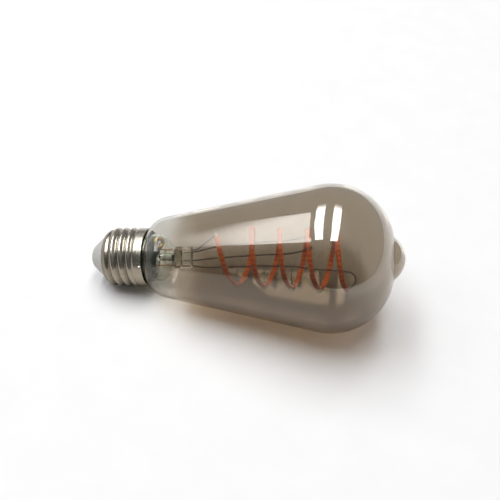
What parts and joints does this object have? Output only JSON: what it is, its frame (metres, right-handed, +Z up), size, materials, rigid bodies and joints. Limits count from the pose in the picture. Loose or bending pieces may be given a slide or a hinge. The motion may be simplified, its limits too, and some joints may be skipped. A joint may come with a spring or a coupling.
{
  "type": "smart light bulb",
  "caption": "Smart filament lamp: long pear-shaped smoked glass envelope with a spiral flexible filament on a glass stem, on an E27 screw cap that holds the driver and radio.",
  "frame": {"origin": "centre of the end face of the centre contact, at the cap end of the lamp's axis", "axes": "+X along the lamp's axis from the contact to the crown of the envelope, +Z up across the axis as the lamp lies; the inner mount is turned 42 degrees about X from Z"},
  "size_m": [0.1383, 0.064, 0.064],
  "materials": {
    "nickel_plate": "bright nickel plate on rolled brass",
    "contact_metal": "tinned brass",
    "solder": "bright solder",
    "insulator_white": "white heat-proof plastic",
    "cement": "dark basing cement",
    "smoked_glass": "smoked, half-mirror coated",
    "clear_glass": "clear",
    "copper_wire": "bare copper",
    "nickel_wire": "drawn nickel",
    "filament_silicone": "amber phosphor silicone",
    "tab_steel": "stamped",
    "housing_black": "heat-proof sleeve",
    "board_green": "solder-masked glass fibre",
    "shield_can": "tinned",
    "antenna_ceramic": "ceramic",
    "choke_copper": "enamelled copper on a ring core",
    "capacitor_can": "sleeved can",
    "film_yellow": "boxed film capacitor",
    "ferrite": "ferrite",
    "chip_black": "moulded package",
    "resistor_body": "lacquered",
    "wire_jacket": "insulated flexible wire",
    "pin_metal": "plated pins"
  },
  "bodies": {
    "root": {"centre_contact": "contact_metal", "cap_insulator": "insulator_white", "cap_shell": "nickel_plate", "side_contact_solder": "solder", "basing_cement": "cement", "glass_envelope": "smoked_glass", "glass_stem": "clear_glass", "exhaust_tube": "clear_glass", "lead_in_wires": "copper_wire", "dumet_seals": "copper_wire", "short_lead_wire": "nickel_wire", "long_lead_wire": "nickel_wire", "upper_support_wire": "nickel_wire", "lower_support_wire": "nickel_wire", "filament_hooks": "nickel_wire", "led_filament": "filament_silicone", "filament_end_tabs": "tab_steel", "driver_housing": "housing_black", "driver_board": "board_green", "radio_board": "board_green", "radio_module": "shield_can", "chip_antenna": "antenna_ceramic", "choke_ring": "choke_copper", "bulk_capacitor": "capacitor_can", "power_inductor": "ferrite", "filter_capacitor": "film_yellow", "bridge_rectifier": "chip_black", "driver_chip": "chip_black", "fusible_resistor": "resistor_body", "live_wire": "wire_jacket", "neutral_wire": "nickel_wire", "board_link_pins": "pin_metal"}
  },
  "joints": []
}
